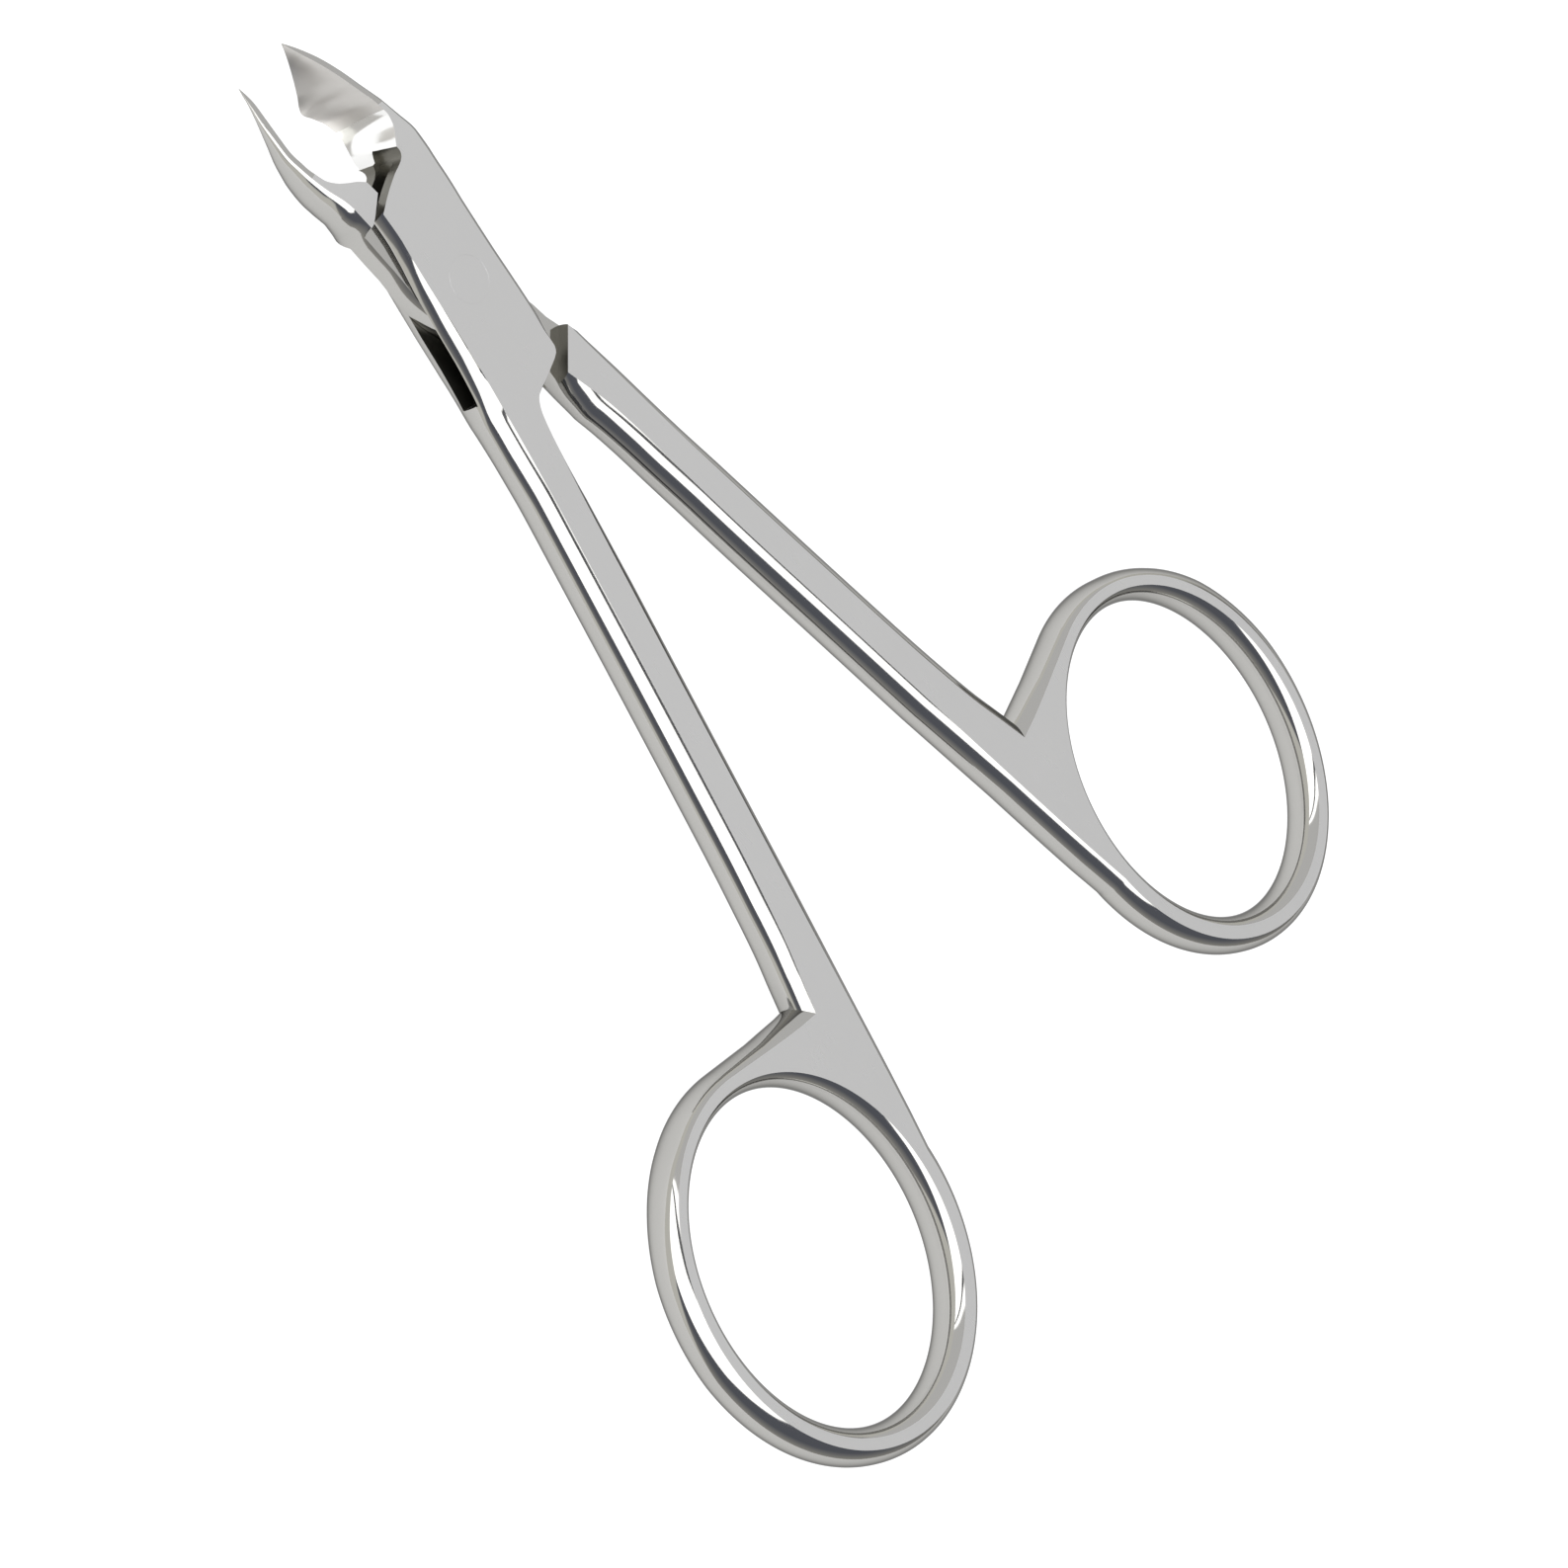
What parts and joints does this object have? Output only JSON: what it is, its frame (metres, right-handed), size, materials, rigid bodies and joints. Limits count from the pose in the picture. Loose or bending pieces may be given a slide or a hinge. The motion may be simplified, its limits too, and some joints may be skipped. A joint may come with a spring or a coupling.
{
  "type": "cuticle nipper",
  "caption": "Small scissor-handled steel nipper with oval finger rings, a riveted box joint and short drooping cutting jaws for fine trimming.",
  "frame": {"origin": "on the rivet's axis, in the plane of the handles' flat back faces", "axes": "+Y from the rivet towards the jaw tips, +Z out of the flat front face, +X towards the tongue arm's finger ring"},
  "size_m": [0.0836, 0.1064, 0.0065],
  "materials": {
    "ground_steel": "fine satin-ground flats with mirror-polished sides and jaw",
    "polished_steel": "fine satin-ground flats with mirror-polished sides and jaw",
    "rivet_steel": "ground flush with the cheeks"
  },
  "bodies": {
    "box_half": {"box_arm": "ground_steel", "pivot_rivet": "rivet_steel"},
    "tongue_half": {"tongue_arm": "polished_steel"}
  },
  "joints": [
    {"name": "box_joint", "type": "hinge", "parent": "box_half", "child": "tongue_half", "pos_m": [0, 0, 0.00175], "axis": [0, 0, 1], "range_deg": [-14.8, 8]}
  ]
}
